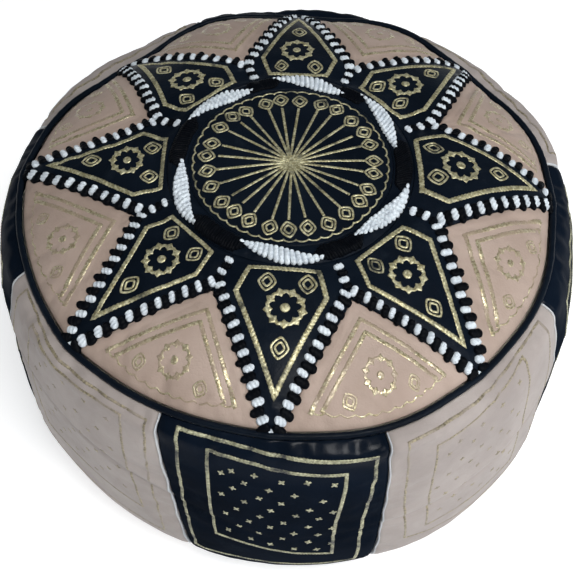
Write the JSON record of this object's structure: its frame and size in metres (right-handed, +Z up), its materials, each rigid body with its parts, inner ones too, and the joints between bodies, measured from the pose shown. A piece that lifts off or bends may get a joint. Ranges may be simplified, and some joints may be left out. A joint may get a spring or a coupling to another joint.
{
  "type": "moroccan leather pouf",
  "caption": "Round stuffed leather floor pouf with a black star, tan rim triangles, gold stamping, white and black edge embroidery, and a zip underneath.",
  "frame": {"origin": "centre of the ring on which the pouf stands, on the floor", "axes": "+Z up through the middle of the seat; -Y through the star petal that faces the viewer; +X to the viewer's right"},
  "size_m": [0.5522, 0.5522, 0.3305],
  "materials": {
    "black_leather": "semi-gloss, fine grain",
    "tan_leather": "matt, undyed natural leather",
    "leather_edge": "raw cut edge",
    "white_thread": "satin stitch",
    "black_thread": "satin stitch",
    "gold_foil": "stamped gold foil",
    "cotton_stuffing": "loose cotton",
    "cotton_lining": "plain weave",
    "piping_cord": "twisted cotton",
    "zip_tape": "woven tape",
    "zip_brass": "satin"
  },
  "bodies": {
    "pouf": {"filling": "cotton_stuffing", "inner_lining": "cotton_lining", "medallion": "black_leather", "embroidery_ring": "black_leather", "star_petal_1": "black_leather", "star_petal_2": "black_leather", "star_petal_3": "black_leather", "star_petal_4": "black_leather", "star_petal_5": "black_leather", "star_petal_6": "black_leather", "star_petal_7": "black_leather", "star_petal_8": "black_leather", "rim_triangle_1": "tan_leather", "rim_triangle_2": "tan_leather", "rim_triangle_3": "tan_leather", "rim_triangle_4": "tan_leather", "rim_triangle_5": "tan_leather", "rim_triangle_6": "tan_leather", "rim_triangle_7": "tan_leather", "rim_triangle_8": "tan_leather", "side_panel_1": "black_leather", "side_panel_2": "tan_leather", "side_panel_3": "black_leather", "side_panel_4": "tan_leather", "side_panel_5": "black_leather", "side_panel_6": "tan_leather", "side_panel_7": "black_leather", "side_panel_8": "tan_leather", "rim_piping": "black_leather", "rim_piping_cord": "piping_cord", "base_piping": "black_leather", "base_piping_cord": "piping_cord", "side_seam_edges": "leather_edge", "base_panel_front": "black_leather", "base_panel_back": "black_leather", "zip_end_patches": "tan_leather", "zip_tape_front": "zip_tape", "zip_tape_back": "zip_tape", "zip_teeth_front": "zip_brass", "zip_teeth_back": "zip_brass", "zip_stops": "zip_brass", "white_edge_stitches": "white_thread", "black_edge_stitches": "black_thread", "white_neck_stitches": "white_thread", "black_neck_stitches": "black_thread", "white_crescents": "white_thread", "black_ring_stitches": "black_thread", "gold_medallion": "gold_foil", "gold_petals": "gold_foil", "gold_triangles": "gold_foil", "gold_side_frames": "gold_foil"},
    "slider": {"zip_slider": "zip_brass"},
    "pull_tab": {"zip_pull_tab": "zip_brass"}
  },
  "joints": [
    {"name": "zip_slide", "type": "slide", "parent": "pouf", "child": "slider", "axis": [-1, 0, 0], "range_m": [0, 0.28]},
    {"name": "pull_tab_swing", "type": "hinge", "parent": "slider", "child": "pull_tab", "pos_m": [0.14, 0, 0.00925], "axis": [0, -1, 0], "range_deg": [-15, 160]}
  ]
}
